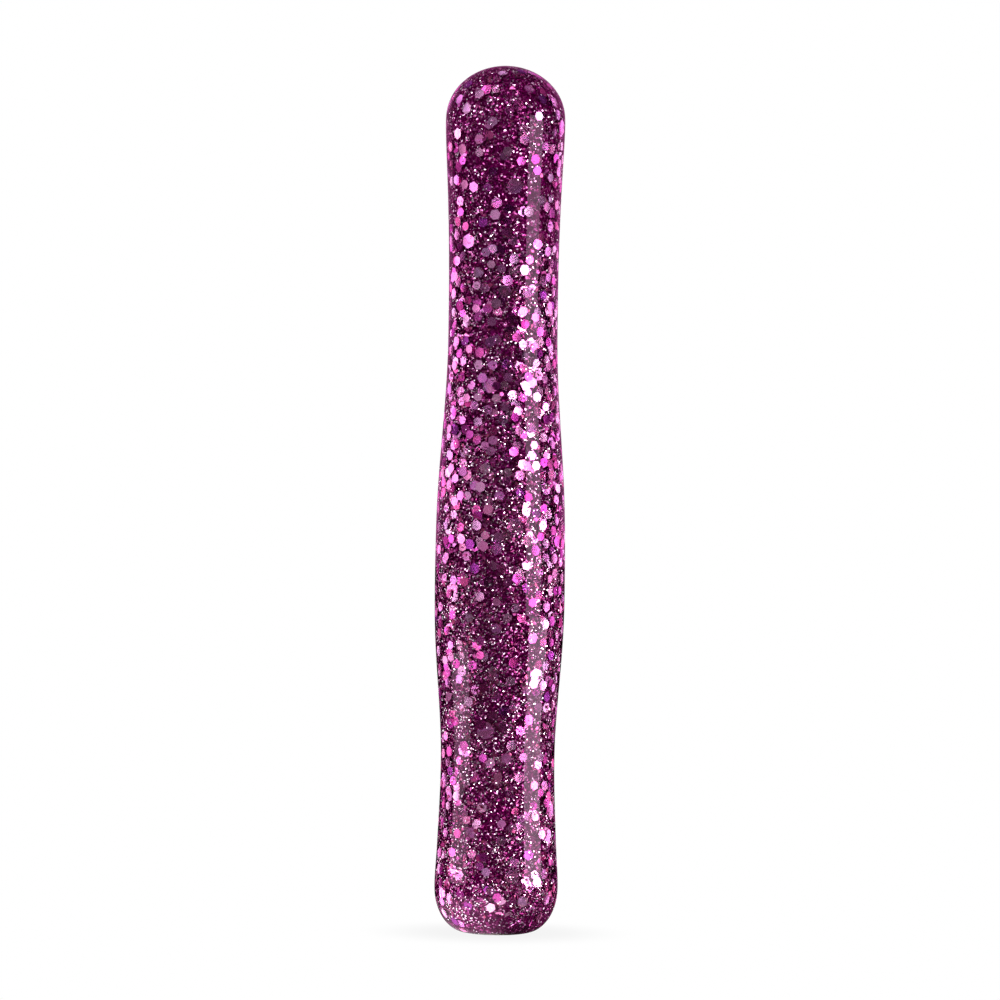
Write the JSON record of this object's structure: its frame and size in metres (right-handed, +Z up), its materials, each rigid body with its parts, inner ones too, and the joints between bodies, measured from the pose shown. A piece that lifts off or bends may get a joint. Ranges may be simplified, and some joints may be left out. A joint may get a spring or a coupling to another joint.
{
  "type": "craft pen handle",
  "caption": "Slim resin pen handle with embedded glitter flakes, a waisted grip, a domed tail and a threaded brass socket in the nose for screw-in tips.",
  "frame": {"origin": "centre of the socket's mouth, in the plane of the nose face that the handle stands on", "axes": "+Z up the handle's axis to the domed tail; the handle is round, so X and Y are free"},
  "size_m": [0.015, 0.015, 0.1],
  "materials": {
    "clear_resin": "polished clear cast resin",
    "plum_resin": "dark plum tinted cast resin",
    "rose_film": "metallised polyester film, rose",
    "pink_film": "metallised polyester film, pale pink",
    "magenta_film": "metallised polyester film, magenta",
    "plum_film": "metallised polyester film, plum",
    "violet_film": "metallised polyester film, violet",
    "brass": "turned brass with a pressed knurl",
    "adhesive": "cured clear epoxy"
  },
  "bodies": {
    "root": {"clear_skin": "clear_resin", "glitter_core": "plum_resin", "rose_flakes": "rose_film", "pink_flakes": "pink_film", "magenta_flakes": "magenta_film", "plum_flakes": "plum_film", "violet_flakes": "violet_film", "large_flakes": "rose_film", "threaded_insert": "brass", "insert_bond": "adhesive"}
  },
  "joints": []
}
